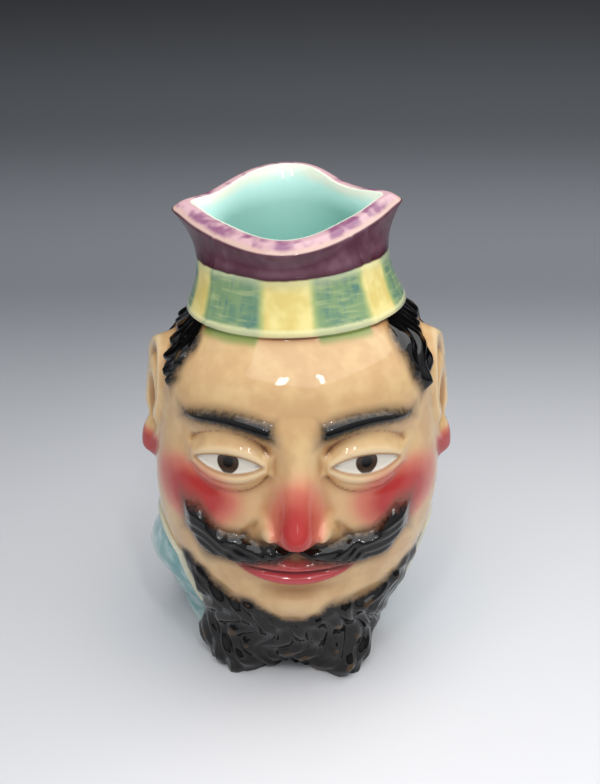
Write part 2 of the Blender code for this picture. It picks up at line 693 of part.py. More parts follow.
def centre_on_origin(target):
    """Put the middle of the mug's plan over the origin, and grind its foot flat at height 0."""
    spots = np.array([corner.co for corner in target.data.vertices])
    middle = (spots.min(axis=0) + spots.max(axis=0)) / 2
    for corner in target.data.vertices:
        corner.co.x -= middle[0]
        corner.co.y -= middle[1]
        if corner.co.z < FOOT_GRIND:
            corner.co.z = 0.0


def make_mug():
    """The head facetted, with its handle joined on."""
    cup = turned_cup()
    shape_cup(cup)
    mug = new_object("mug", cup)
    mug.data.materials.append(glaze())
    mug.data.calc_loop_triangles()
    facet = mug.modifiers.new("facets", "DECIMATE")
    facet.ratio = min(1.0, BODY_FACETS / len(mug.data.loop_triangles))
    bake_modifiers(mug)

    handle = make_handle()
    join = mug.modifiers.new("handle_joint", "BOOLEAN")
    join.operation = "UNION"
    join.solver = "EXACT"
    join.object = handle
    bake_modifiers(mug)
    bpy.data.objects.remove(handle)
    centre_on_origin(mug)
    mug.data.shade_smooth()
    return mug


for existing in list(bpy.data.objects):
    bpy.data.objects.remove(existing)
make_mug()
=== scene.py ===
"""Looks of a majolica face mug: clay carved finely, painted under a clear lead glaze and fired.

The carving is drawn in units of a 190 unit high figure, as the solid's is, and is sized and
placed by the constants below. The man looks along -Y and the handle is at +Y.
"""

import math

import bmesh
import bpy
import numpy as np
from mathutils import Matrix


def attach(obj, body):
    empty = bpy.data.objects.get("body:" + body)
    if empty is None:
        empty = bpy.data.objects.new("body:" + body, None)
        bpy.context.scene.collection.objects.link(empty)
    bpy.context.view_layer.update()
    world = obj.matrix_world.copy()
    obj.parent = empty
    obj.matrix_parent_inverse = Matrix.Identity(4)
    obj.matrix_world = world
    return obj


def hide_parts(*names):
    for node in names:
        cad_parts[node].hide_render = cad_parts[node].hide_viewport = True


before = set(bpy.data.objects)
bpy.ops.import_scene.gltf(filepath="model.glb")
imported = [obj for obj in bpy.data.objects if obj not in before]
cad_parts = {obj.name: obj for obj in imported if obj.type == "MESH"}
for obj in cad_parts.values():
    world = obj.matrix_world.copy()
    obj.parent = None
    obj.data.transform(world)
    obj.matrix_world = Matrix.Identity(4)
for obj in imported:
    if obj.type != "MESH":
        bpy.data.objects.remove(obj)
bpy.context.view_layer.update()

# The figure's height, and where the head's own axis stands in the frame, in metres.
HEIGHT = 0.190
UNIT = HEIGHT / 190
AXIS_X = 0.0005
AXIS_Y = -0.0120

# Sizes that the solid was made to, in metres.
WALL = 0.005
LIP_WIDTH = 0.0082
FLOOR_THICKNESS = 0.006
FOOT_RING_WIDTH = 0.007
FOOT_RECESS = 0.0015
HANDLE_WIDTH = 0.016
HANDLE_THICKNESS = 0.011
FINGER_GAP = 0.029
HANDLE_JOINT_FLARE = 0.0025

# How far the floor is rounded up into the wall, in units.
FLOOR_ROUNDING = 14

# How finely the clay is drawn.
COLUMNS = 384
ROW_STEP = 0.76
CAP_ROW_STEP = 1.25
INNER_STEP = 9.0
FRONT_DENSITY = 0.36
HANDLE_SIDES = 32
HANDLE_RINGS = 70

# Head without hair, beard or cap: height, half width, depth in front, depth behind.
HEAD = np.array([
    (0, 33.5, 33, 36),
    (6, 36, 37, 38.5),
    (15, 39.5, 42, 42),
    (30, 46.4, 48.5, 46.5),
    (50, 52.2, 53.5, 51),
    (70, 56.3, 56, 55),
    (90, 55.5, 57, 58),
    (110, 53.5, 56, 59),
    (122, 51.5, 54, 57),
    (131, 47.2, 50, 52),
    (137, 42.4, 45, 46.5),
    (142.5, 37.5, 40, 40),
])
CROWN_SQUARENESS = 2.25
CHIN_SQUARENESS = 1.85
CHIN_SHIFT = -1.0

# Cap: a banded part, and above it a brim pinched to a corner at each side.
BAND_BOTTOM = 142.5
BAND_TOP = 158.4
BAND_BOTTOM_RADIUS = 42
BAND_TOP_RADIUS = 36.4
BAND_TILT = 0.07
CAP_TILT_START = 112
RIM_SIDE_HEIGHT = 176.5
RIM_FRONT_FALL = 0.27
RIM_BACK_RISE = 10.5
RIM_LEFT_DIP = 2.6
LEFT_DIP_TURN = 132
LEFT_DIP_WIDTH = 24
RIM_BEVEL = 2.0
RIM_ROUNDING = 1.4
CAP_ROLL = 0.04
CAP_LEAN = -4.0
CAP_LEAN_START = 122.5
BRIM_WAIST = 1.4
RIM_HALF_LENGTH = 44.4
RIM_CORNER_RISE = 2.0
RIM_CORNER_WIDTH = 13
RIM_HALF_WIDTH = 36.5
FRONT_ARCH = 1.1
BACK_ARCH = 1.25
CORNER_ROUNDING = 3.4

# Nose: height, how far it stands out, half width.
NOSE = np.array([
    (66, 0, 9),
    (69.5, 1.4, 9),
    (71.5, 9, 8.8),
    (74, 15.2, 8.6),
    (77, 17, 8.4),
    (82, 14.6, 7.6),
    (90, 10, 6.8),
    (98, 5.8, 6.6),
    (104, 3.8, 7.2),
    (109, 2.2, 8.5),
    (116, 0, 9),
])

# Places of the face: how high, how far to the side, and how large.
EYE_HEIGHT = 98
EYE_SIDE = 24
EYE_HALF_WIDTH = 12
EYE_RISE = 3.5
EYE_FALL = 2.9
BROW_HEIGHT = 110.5
BROW_START = 9
BROW_LENGTH = 31
CHEEK_HEIGHT = 80
CHEEK_SIDE = 37
MOUSTACHE_HEIGHT = 67
MOUSTACHE_HALF_LENGTH = 40.5
MOUTH_HEIGHT = 58.5
MOUTH_HALF_WIDTH = 23
UPPER_LIP = 5.4
LOWER_LIP = 7.4
CHIN_HEIGHT = 39

# The lapel on the man's right stands off the neck: height, how far.
LAPEL = np.array([
    (0, 7),
    (11, 9.5),
    (19, 10),
    (27, 9.4),
    (33, 11),
    (39, 11),
    (45, 8.4),
    (51, 4.4),
    (58, 2),
])
COLLAR_TOP = 50.5

# Front edge of the hair: height, turn in degrees from the front.
HAIRLINE = np.array([
    (108, 58),
    (115, 54.5),
    (120, 52),
    (129, 48.5),
    (136, 48),
    (142.5, 54),
])
RIGHT_HAIR_SHIFT = 3.5
SIDEBURN_FOOT = 116
SIDEBURN_TURN = 55
SIDEBURN_SLOPE = 1.9
OVER_EAR = 131
NAPE_TURN = 104

# Edges of the beard and collar: heights, and turns in degrees from the front.
BEARD_TOP = 33
BEARD_RIGHT_RISE = 14
BEARD_LEFT_RISE = 12
BEARD_RIGHT_SIDE = 53.5
BEARD_RIGHT_SPREAD = 16
BEARD_LEFT_SIDE = 66
BEARD_LEFT_SPREAD = 8
RIGHT_LOBE = 10
LEFT_LOBE = 11
LOBE_TURN = 25.5
RIGHT_FLANK = 4.5
COLLAR_BACK_TURN = 105
COLLAR_BACK_RISE = 3
COLLAR_SIDE_TURN = 78
COLLAR_SIDE_RISE = 9.5

# Ears: height of the middle, half height, half width, and how far each one stands out.
EAR_MIDDLE = 106.5
EAR_HALF_HEIGHT = 26
EAR_HALF_WIDTH = 18
EAR_FORWARD = 5
RIGHT_EAR_REACH = 6.4
LEFT_EAR_REACH = 5.6

# Handle's line behind the head: share of its length, share of its reach, height.
HANDLE_LINE = np.array([
    (0.00, 0.00, 111),
    (0.14, 0.34, 114.5),
    (0.32, 0.80, 111.5),
    (0.50, 1.00, 95),
    (0.66, 0.90, 77),
    (0.84, 0.46, 62),
    (1.00, 0.00, 56),
])

# Locks of the hair and beard: how many side by side round the head, length, and height.
LOCK_COUNT = 42
LOCK_LENGTH = 12.5
LOCK_HEIGHT = 2.5
LOCK_WAVE = 0.46


def smooth_through(at, stations, column):
    """Natural cubic curve through the stations, read at each value of at."""
    x = stations[:, 0]
    y = stations[:, column]
    count = len(x)
    gap = np.diff(x)
    matrix = np.eye(count)
    right = np.zeros(count)
    for i in range(1, count - 1):
        matrix[i, i - 1:i + 2] = gap[i - 1], 2 * (gap[i - 1] + gap[i]), gap[i]
        right[i] = 6 * ((y[i + 1] - y[i]) / gap[i] - (y[i] - y[i - 1]) / gap[i - 1])
    bend = np.linalg.solve(matrix, right)
    at = np.clip(at, x[0], x[-1])
    i = np.clip(np.searchsorted(x, at) - 1, 0, count - 2)
    a = (x[i + 1] - at) / gap[i]
    b = (at - x[i]) / gap[i]
    curve = (a ** 3 - a) * bend[i] + (b ** 3 - b) * bend[i + 1]
    return a * y[i] + b * y[i + 1] + curve * gap[i] ** 2 / 6


def ramp(low, high, value):
    """0 up to low, 1 from high, and an S between them."""
    t = np.clip((value - low) / (high - low), 0, 1)
    return t * t * (3 - 2 * t)


def mound(value, width):
    """A round-topped swelling about value 0."""
    return np.exp(-(value / width) ** 2)


def head_radius(turn, height):
    """Distance of the bare head from its axis."""
    side, front, back = (smooth_through(height, HEAD, column) for column in (1, 2, 3))
    depth = np.where(np.cos(turn) > 0, front, back)
    power = CHIN_SQUARENESS + (CROWN_SQUARENESS - CHIN_SQUARENESS) * ramp(15, 65, height)
    across = np.abs(np.sin(turn) / side) ** power
    along = np.abs(np.cos(turn) / depth) ** power
    return (across + along) ** (-1 / power)


def lens_radius(turn):
    """Plan of the pinched mouth: an arch in front and a sharper one behind, meeting in two corners."""
    along = np.linspace(0, 1, 181)
    arches = [RIM_HALF_WIDTH * np.cos(along * math.pi / 2) ** power for power in (FRONT_ARCH, BACK_ARCH)]
    turns = [np.arctan2(along * RIM_HALF_LENGTH, arch) for arch in arches]
    reaches = [np.hypot(along * RIM_HALF_LENGTH, arch) for arch in arches]
    all_turns = np.concatenate([turns[0], math.pi - turns[1][-2::-1]])
    all_reaches = np.concatenate([reaches[0], reaches[1][-2::-1]])
    folded = np.abs((turn + math.pi) % (2 * math.pi) - math.pi)
    rounded = [
        np.interp(math.pi - np.abs(math.pi - np.abs(folded + shift)), all_turns, all_reaches)
        for shift in np.radians(CORNER_ROUNDING) * np.linspace(-1, 1, 5)]
    return sum(rounded) / len(rounded)


def cap_radius(turn, label):
    """Distance of the cap from its own axis, up the band and then up the brim."""
    down = np.clip((BAND_TOP - label) / (BAND_TOP - BAND_BOTTOM), 0, 1)
    up = np.clip((label - BAND_TOP) / (RIM_SIDE_HEIGHT - BAND_TOP), 0, 1)
    band = BAND_TOP_RADIUS + (BAND_BOTTOM_RADIUS - BAND_TOP_RADIUS) * down ** 1.5
    brim = (lens_radius(turn) - BAND_TOP_RADIUS) * up ** 1.35 - BRIM_WAIST * np.sin(math.pi * up)
    return band + brim


def cap_shift(label):
    """How far the cap leans sideways at a height."""
    return CAP_LEAN * np.clip((label - CAP_LEAN_START) / (RIM_SIDE_HEIGHT - CAP_LEAN_START), 0, 1) ** 2


def chin_shift(label):
    """How far the lower head stands to the man's right of its crown."""
    return CHIN_SHIFT * (1 - ramp(30, 105, label))


def cap_height(turn, label, x, y):
    """Height of a place on the head or cap: the cap rolls to one side and tilts up at the back."""
    up = np.clip((label - BAND_TOP) / (RIM_SIDE_HEIGHT - BAND_TOP), 0, 1)
    roll = CAP_ROLL * x * ramp(CAP_TILT_START, BAND_BOTTOM, label)
    tilt = BAND_TILT * y * np.interp(label, (CAP_TILT_START, BAND_BOTTOM, BAND_TOP), (0, 1, 0))
    degrees = np.degrees(turn)
    corner = RIM_CORNER_RISE * mound(np.abs(degrees) - 90, RIM_CORNER_WIDTH)
    dip = RIM_LEFT_DIP * mound(degrees - LEFT_DIP_TURN, LEFT_DIP_WIDTH)
    behind = -RIM_BACK_RISE * np.cos(turn) - dip
    rise = np.where(y < 0, RIM_FRONT_FALL * y, behind) + corner
    return label + roll + tilt + rise * up


def nose_form(x, z):
    """How far the nose stands out in front of the face."""
    height = smooth_through(z, NOSE, 1)
    width = smooth_through(z, NOSE, 2)
    ridge = height * np.exp(-np.abs(x / width) ** 2.6)
    wing = 10.5 * mound(np.hypot((np.abs(x) - 9.0) / 4.3, (z - 75.2) / 4.6), 1)
    blend = 2.5
    overlap = np.clip(blend - np.abs(ridge - wing), 0, None)
    return np.maximum(ridge, wing) + overlap ** 2 / (4 * blend)


def eye_opening(x, z):
    """Above 0 inside the eye's opening, below 0 outside it."""
    across = (np.abs(x) - EYE_SIDE) / EYE_HALF_WIDTH
    arch = np.clip(1 - across ** 2, 0, None)
    upper = EYE_HEIGHT + EYE_RISE * arch ** 0.8
    lower = EYE_HEIGHT - EYE_FALL * arch
    return np.minimum(np.minimum(upper - z, z - lower), EYE_HALF_WIDTH * (1 - np.abs(across)))


def eye_form(x, z):
    """Socket, eyeball, lids and the opening between them."""
    aside = np.abs(x) - EYE_SIDE
    up = z - EYE_HEIGHT
    socket = -4.2 * np.exp(-((aside + 1) / 13.5) ** 2 - ((up - 2) / 9) ** 2)
    ball = 5.6 * np.clip(1 - (aside / 14.5) ** 2 - ((up - 0.3) / 11) ** 2, 0, 1) ** 0.7
    opening = eye_opening(x, z)
    lid = 1.6 * ramp(-4.8, -1.8, opening) * (1 - ramp(-0.9, 0.9, opening))
    crease = -1.0 * mound(opening + 6.2, 1.8) * ramp(0, 4, up) * (1 - ramp(12, 16, np.abs(aside)))
    return socket + ball + lid + crease


def lip_form(x, z):
    """Closed lips on the rounding of the mouth."""
    a = np.clip(np.abs(x) / MOUTH_HALF_WIDTH, 0, 1)
    line = MOUTH_HEIGHT + 0.8 * a ** 2
    top = line + UPPER_LIP * (1 - a ** 1.7) - 1.2 * mound(x, 2.6) + 0.05
    bottom = line - LOWER_LIP * (1 - a ** 2.2) - 0.05
    upper = np.clip((z - line) / (top - line), 0, 1)
    lower = np.clip((line - z) / (line - bottom), 0, 1)
    taper = np.sqrt(1 - a ** 2)
    roll = 3.4 * np.sin(math.pi * (0.2 + 0.8 * upper)) * (z >= line) * (upper < 1)
    pout = 4.8 * np.sin(math.pi * (0.2 + 0.8 * lower)) * (z < line) * (lower < 1)
    groove = -1.6 * mound(z - line, 0.9)
    return (roll + pout + groove) * taper


def brow_form(x, z):
    """Eyebrows, as thick strokes of clay."""
    past_start = np.abs(x) - BROW_START
    along = np.clip(past_start / BROW_LENGTH, 0, 1)
    middle = BROW_HEIGHT + 3.2 * np.sin(math.pi * along * 0.9)
    half = 3.3 * np.sqrt(np.clip(1 - (2 * along - 0.85) ** 4 / 2.2, 0, 1)) * (1 - 0.45 * along)
    ends = ramp(-1.5, 1, past_start) * (1 - ramp(-2, 1, past_start - BROW_LENGTH))
    return 1.5 * ramp(0, 1.6, half - np.abs(z - middle)) * ends


def moustache_line(x):
    """Height of the middle of the moustache, which turns up at its ends."""
    a = np.abs(x)
    return MOUSTACHE_HEIGHT - 1.9 * ramp(0, 16, a) + 9.5 * ramp(25, 42, a) ** 1.2


def moustache_edge(x, z):
    """Above 0 inside the moustache, below 0 outside it."""
    a = np.abs(x)
    half = 1.5 + 2.2 * ramp(0, 8, a) + 2.4 * ramp(10, 24, a) - 3.0 * ramp(33, 41, a)
    steep = 1 + 0.7 * ramp(26, 36, a)
    return np.minimum(half - np.abs(z - moustache_line(x)) / steep, MOUSTACHE_HALF_LENGTH - a)


def face_form(x, z):
    """How far the face stands out along -Y from the bare head."""
    a = np.abs(x)
    muzzle = 4.2 * np.exp(-(x / MOUTH_HALF_WIDTH) ** 2 - ((z - MOUTH_HEIGHT - 2.5) / 14) ** 2)
    chin = 4.0 * np.exp(-(x / 15) ** 2 - ((z - CHIN_HEIGHT) / 8) ** 2)
    under_lip = -2.0 * np.exp(-(x / 15) ** 2 - ((z - CHIN_HEIGHT - 9.5) / 3.2) ** 2)
    cheek = 3.6 * np.exp(-((a - CHEEK_SIDE) / 12) ** 2 - ((z - CHEEK_HEIGHT) / 12) ** 2)
    fold_line = 13 + (77 - z) * 0.85
    fold = -1.3 * mound(a - fold_line, 2.6) * ramp(56, 63, z) * (1 - ramp(76, 81, z))
    brow_bone = 2.4 * mound(z - BROW_HEIGHT + 1, 5) * ramp(3, 12, a) * (1 - ramp(32, 44, a))
    temple = -1.6 * np.exp(-((a - 46) / 7) ** 2 - ((z - 106) / 11) ** 2)
    groove = -0.8 * mound(x, 1.8) * ramp(63, 65, z) * (1 - ramp(69, 71, z))
    moustache = 4.4 * ramp(-0.8, 3.0, moustache_edge(x, z))
    skin = muzzle + chin + under_lip + cheek + fold + brow_bone + temple + groove
    return skin + nose_form(x, z) + eye_form(x, z) + lip_form(x, z) + brow_form(x, z) + moustache


def ear_place(y, z):
    """Place on an ear: across it, up it, and from its middle to 1 at its edge."""
    up = (z - EAR_MIDDLE) / EAR_HALF_HEIGHT
    lobe = ramp(0.1, -0.95, up)
    across = (y + EAR_FORWARD + 3.5 * lobe) / (EAR_HALF_WIDTH * (1 - 0.47 * lobe))
    return across, up, np.hypot(across, up)


def ear_form(y, z):
    """How far an ear stands out sideways from the head, as a share of its reach."""
    across, up, out = ear_place(y, z)
    wedge = 0.10 + 0.90 * ramp(-1.0, 0.45, across)
    pinch = 1 - 0.32 * mound(up + 0.42, 0.14)
    body = (1 - ramp(0.86, 1.06, out)) * wedge * pinch
    helix = 0.20 * mound(out - 0.85, 0.09) * ramp(-0.4, 0.0, up)
    groove = -0.42 * mound(out - 0.67, 0.09) * ramp(-0.35, 0.0, up + 0.3 * across)
    bowl_reach = np.hypot((across + 0.10) / 0.42, (up + 0.10) / 0.44)
    bowl = -0.56 * (1 - ramp(0.5, 1.1, bowl_reach))
    notch = -0.22 * mound(np.hypot((across + 0.35) / 0.22, (up + 0.45) / 0.16), 1)
    flap = 0.20 * mound(np.hypot((across + 0.70) / 0.16, (up + 0.18) / 0.15), 1)
    return body + (helix + groove + bowl + notch + flap) * (1 - ramp(0.90, 1.02, out))


def ear_cover(y, z):
    """1 on an ear and 0 away from it."""
    return 1 - ramp(1.0, 1.15, ear_place(y, z)[2])


def lock_place(turn, z):
    """Place on the wavy locks: across one from -0.5 to 0.5, and turns of its swelling along it."""
    around = turn * LOCK_COUNT / (2 * math.pi)
    around = around + LOCK_WAVE * np.sin(z / 5 + turn * 3) + 0.5 * LOCK_WAVE * np.sin(z / 3.4 + turn * 8)
    lock = np.round(around)
    stagger = 0.5 * (lock % 2) + 0.18 * np.sin(lock % LOCK_COUNT * 5.3)
    return around - lock, z / LOCK_LENGTH + stagger


def lock_form(turn, z):
    """Relief of the locks: rounded strands that swell and thin along their length."""
    across, along = lock_place(turn, z)
    swell = 0.5 + 0.5 * np.cos(2 * math.pi * along)
    return LOCK_HEIGHT * np.cos(math.pi * across) ** 0.8 * (0.36 + 0.64 * swell)


def beard_top(turn):
    """Height of the beard's upper edge, from the chin round to below the ears."""
    a = np.abs(np.degrees(turn))
    rise = np.where(turn < 0, BEARD_RIGHT_RISE * ramp(24, 50, a), BEARD_LEFT_RISE * ramp(28, 62, a))
    return BEARD_TOP + 6.5 * ramp(5, 18, a) + rise


def beard_side(turn, z):
    """Degrees from the front at which the beard ends and the collar begins."""
    right_side = BEARD_RIGHT_SIDE + BEARD_RIGHT_SPREAD * ramp(24, 4, z)
    left_side = BEARD_LEFT_SIDE + BEARD_LEFT_SPREAD * ramp(40, 10, z)
    return np.where(turn < 0, right_side, left_side)


def beard_edge(turn, z):
    """Above 0 inside the beard, below 0 outside it, in units."""
    return np.minimum(beard_top(turn) - z, (beard_side(turn, z) - np.abs(np.degrees(turn))) * 0.9)


def collar_edges(turn, z):
    """Distances below the collar's top and behind the beard's side, in units; below 0 outside them."""
    a = np.abs(np.degrees(turn))
    side = COLLAR_SIDE_RISE * ramp(COLLAR_SIDE_TURN - 26, COLLAR_SIDE_TURN, a)
    top = COLLAR_TOP + side + COLLAR_BACK_RISE * ramp(COLLAR_BACK_TURN, COLLAR_BACK_TURN + 60, a)
    return top - z, (a - beard_side(turn, z)) * 0.9


def collar_edge(turn, z):
    """Above 0 inside the collar, below 0 outside it, in units."""
    return np.minimum(*collar_edges(turn, z))


def hair_edge(turn, z):
    """Above 0 inside the hair at the sides and back of the head, below 0 outside it."""
    degrees = np.degrees(turn)
    a = np.abs(degrees)
    front = smooth_through(z, HAIRLINE, 1) + RIGHT_HAIR_SHIFT * (degrees < 0)
    foot = np.minimum(SIDEBURN_FOOT + (a - SIDEBURN_TURN) / SIDEBURN_SLOPE, OVER_EAR)
    before_ear = np.minimum((a - front) * 0.9, z - foot)
    nape = NAPE_TURN + 3 * np.sin(z / 7)
    behind_ear = np.minimum((a - nape) * 0.9, z - COLLAR_TOP)
    return np.maximum(before_ear, behind_ear)


def lobe(degrees, inner, outer):
    """A swelling about 0 degrees that falls off faster on its inner side."""
    return mound(degrees, np.where(degrees < 0, inner, outer))


def beard_form(turn, z):
    """How far the beard stands out from the bare head, lobes at its foot included."""
    degrees = np.degrees(turn)
    inside = ramp(-0.5, 4.5, beard_edge(turn, z))
    base = 2.8 - 2.3 * ramp(30, 58, np.abs(degrees))
    left = LEFT_LOBE * lobe(degrees - LOBE_TURN + 1.5, 9, 24)
    right = RIGHT_LOBE * lobe(-degrees - LOBE_TURN - 4.5, 10, 32)
    flank = RIGHT_FLANK * ramp(34, 60, -degrees) * (1 - ramp(20, 34, z))
    notch = -4.6 * mound(degrees + 3, 8) * (1 - ramp(0, 9, z))
    return inside * (base + (left + right) * (1 - ramp(2, 26, z)) + flank + notch)


def collar_form(turn, z):
    """How far the collar stands out, with a rolled edge and the open lapel."""
    below_top, past_beard = collar_edges(turn, z)
    edge = np.minimum(below_top, past_beard)
    degrees = np.degrees(turn)
    opening = ramp(0, 9, below_top) * ramp(0, 1, past_beard / (5 + 26 * ramp(0, 20, z)))
    behind = ramp(COLLAR_BACK_TURN, COLLAR_BACK_TURN + 38, np.abs(degrees))
    lapel = smooth_through(z, LAPEL, 1) * opening * (1 - behind) * (degrees < 0)
    plain = 1.3 + 1.7 * behind
    rolled = 0.8 * mound(edge - 1.6, 1.3) * (degrees < 0)
    gather = 0.9 * np.sin(turn * 9 + z * 0.09) * behind * ramp(2, 20, z)
    return ramp(-0.4, 1.4, edge) * (np.maximum(plain, lapel) + rolled + gather)


# Combed strokes along the locks and the moustache: how many to a lock, how high, and how far apart.
LOCK_STROKES = 3
STROKE_HEIGHT = 0.16
MOUSTACHE_PITCH = 3.7
MOUSTACHE_STROKE = 0.3

# Yellow panels on the cap, with green between them: turn of the middle and half width, in degrees.
YELLOW_PANELS = (
    (-3.8, 12.9),
    (51.4, 10.0),
    (101.0, 11.0),
    (152.0, 12.0),
    (-63.0, 8.5),
    (-108.0, 11.0),
    (-158.0, 12.0),
)

# How far the brim's purple stays above the band's top at the sides.
PURPLE_RISE = 2.6

# Seams that the mould left on the cap.
SEAM_TURNS = (-50.5, 43.5)
SEAM_HEIGHT = 0.35
SEAM_SPREAD = 1.6

# The eyes look straight ahead, with the top of each iris under its lid.
IRIS_RADIUS = 4.0
PUPIL_RADIUS = 2.1
IRIS_RISE = 0.9


def lock_strokes(turn, z):
    """Combed strokes along every lock, and how near each place is to the crest of a swelling."""
    across, along = lock_place(turn, z)
    strokes = STROKE_HEIGHT * np.cos(2 * math.pi * LOCK_STROKES * across) * np.cos(math.pi * across)
    crest = np.cos(math.pi * across) * (0.5 + 0.5 * np.cos(2 * math.pi * along))
    return strokes, crest


def brow_edge(x, z):
    """Above 0 inside an eyebrow, below 0 outside it."""
    past_start = np.abs(x) - BROW_START
    along = np.clip(past_start / BROW_LENGTH, 0, 1)
    middle = BROW_HEIGHT + 3.2 * np.sin(math.pi * along * 0.9)
    half = 3.3 * np.sqrt(np.clip(1 - (2 * along - 0.85) ** 4 / 2.2, 0, 1)) * (1 - 0.45 * along)
    ends = np.minimum(past_start + 0.5, BROW_LENGTH + 0.5 - past_start)
    return np.minimum(half - np.abs(z - middle), ends)


def ear_hollow(y, z):
    """1 in an ear's bowl and in the groove inside its rim, and 0 on its raised parts: where the ear's
    painted shade lies.
    """
    across, up, out = ear_place(y, z)
    bowl = 1 - ramp(0.6, 1.1, np.hypot((across + 0.10) / 0.42, (up + 0.10) / 0.44))
    groove = mound(out - 0.67, 0.09) * ramp(-0.35, 0.0, up + 0.3 * across)
    return np.maximum(bowl, groove)


def lip_edge(x, z):
    """Above 0 on the lips, below 0 off them."""
    a = np.clip(np.abs(x) / MOUTH_HALF_WIDTH, 0, 1)
    line = MOUTH_HEIGHT + 0.8 * a ** 2
    top = line + UPPER_LIP * (1 - a ** 1.7) - 1.2 * mound(x, 2.6)
    bottom = line - LOWER_LIP * (1 - a ** 2.2)
    return np.minimum(np.minimum(top - z, z - bottom), MOUTH_HALF_WIDTH - np.abs(x))


def outer_place(turn, label):
    """Place of the glazed outside at a turn from the front and a height up the mug, and its paints."""
    on_cap = ramp(BAND_BOTTOM - 0.6, BAND_BOTTOM + 0.1, label)
    z = np.minimum(label, BAND_BOTTOM)
    radius = head_radius(turn, z)
    x = radius * np.sin(turn)
    y = -radius * np.cos(turn)
    degrees = np.degrees(turn)

    on_ear = ear_cover(y, z) * ramp(40, 60, np.abs(degrees))
    hair_line = hair_edge(turn, z)
    beard_line = beard_edge(turn, z)
    collar_line = collar_edge(turn, z)
    hair = ramp(-0.5, 2.5, hair_line) * (1 - on_ear)
    collar = ramp(-0.4, 1.4, collar_line)
    beard = ramp(-0.5, 4.5, beard_line)
    strokes, crest = lock_strokes(turn, z)
    locks = (lock_form(turn, z) + strokes) * np.clip(hair + beard, 0, 1) * (1 - collar)
    fade_up = 1 - ramp(BAND_BOTTOM - 9, BAND_BOTTOM - 1, z)
    fade_low = 1 - 0.5 * ramp(35, 60, np.abs(degrees)) * ramp(70, 50, z)
    radius = radius + (1.0 * hair + locks * fade_low) * fade_up
    radius = radius + beard_form(turn, z) + collar_form(turn, z)

    front = ramp(0.15, 0.45, np.cos(turn))
    brow_line = brow_edge(x, z)
    moustache = moustache_edge(x, z)
    lie = (0.5 * np.abs(x) - z + 1.1 * np.sin(x / 3.1)) * 2 * math.pi / MOUSTACHE_PITCH
    combed = MOUSTACHE_STROKE * np.sin(lie) * ramp(0, 2, moustache)
    face = (face_form(x, z) + combed) * front * (1 - ramp(124, 136, z))
    ear_reach = np.where(turn < 0, -RIGHT_EAR_REACH, LEFT_EAR_REACH)
    head_x = radius * np.sin(turn) + ear_form(y, z) * ear_reach + chin_shift(label)
    head_y = -radius * np.cos(turn) - face * (1 - 0.75 * beard)

    cap = cap_radius(turn, label)
    for seam_turn in SEAM_TURNS:
        cap = cap + SEAM_HEIGHT * mound(degrees - seam_turn, SEAM_SPREAD)
    place_x = head_x * (1 - on_cap) + cap * np.sin(turn) * on_cap + cap_shift(label)
    place_y = head_y * (1 - on_cap) - cap * np.cos(turn) * on_cap
    place_z = cap_height(turn, label, place_x, place_y)

    on_head = label <= BAND_BOTTOM
    in_front = (front > 0.02) & on_head
    ragged = 1.6 * crest - 0.8
    hair_paint = np.minimum(hair_line, 6 - 12 * on_ear)
    face_hair = np.where(in_front, np.maximum(brow_line, moustache), -20)
    black = np.maximum(np.maximum(hair_paint, beard_line) + ragged, face_hair)
    black = np.where(on_head, np.minimum(black, 0.5 - collar_line), -20)
    gaze = np.hypot(np.abs(x) - EYE_SIDE, z - EYE_HEIGHT - IRIS_RISE)
    eye = eye_opening(x, z)
    from_yellow = [np.abs((degrees - middle + 180) % 360 - 180) - half for middle, half in YELLOW_PANELS]
    cheeks = 1.15 * np.exp(-((np.abs(x) - CHEEK_SIDE) / 15) ** 2 - ((z - CHEEK_HEIGHT - 3) / 11) ** 2)
    nose = mound(np.hypot(x / 8.5, (z - 80) / 14), 1)
    lobes = 1.1 * on_ear * (1 - ramp(86, 95, z))
    paints = {
        "black": np.clip(black, -20, 8),
        "lips": np.where(in_front, lip_edge(x, z), -20),
        "eye": np.where(in_front, eye, -20),
        "iris": np.where(in_front, np.minimum(IRIS_RADIUS - gaze, eye), -20),
        "pupil": np.where(in_front, np.minimum(PUPIL_RADIUS - gaze, eye), -20),
        "rouge": ((cheeks + nose) * front + lobes) * on_head,
        "cap": label - BAND_BOTTOM,
        "brim": label - BAND_TOP - PURPLE_RISE * ramp(5, 50, np.abs(degrees)),
        "panel": np.minimum.reduce(from_yellow) * 0.7,
        "crest": np.where(np.maximum(hair_line, beard_line) > 1, crest, 0),
        # The ear's hollows, darkened brown as painted shade with the glaze pooled there too.
        "ear": ear_hollow(y, z) * on_ear * on_head,
        "collar": np.where(on_head, collar_line, -20),
    }
    return (place_x, place_y, place_z), paints


def inner_place(turn, label):
    """Place of the glazed inside, a wall's thickness in from the smooth head and the cap."""
    wall = WALL / UNIT
    head = head_radius(turn, np.minimum(label, BAND_BOTTOM - 6)) - wall
    up = ramp(BAND_TOP, RIM_SIDE_HEIGHT, label)
    cap = cap_radius(turn, np.maximum(label, BAND_BOTTOM)) - wall - (LIP_WIDTH / UNIT - wall) * up
    on_cap = ramp(BAND_BOTTOM - 10, BAND_BOTTOM + 6, label)
    radius = head * (1 - on_cap) + cap * on_cap
    place_x = radius * np.sin(turn) + cap_shift(label) + chin_shift(label)
    place_y = -radius * np.cos(turn)
    rise = np.clip((label - BAND_TOP) / (RIM_SIDE_HEIGHT - BAND_TOP), 0, 1)
    return place_x, place_y, cap_height(turn, label, place_x, place_y) + RIM_BEVEL * rise


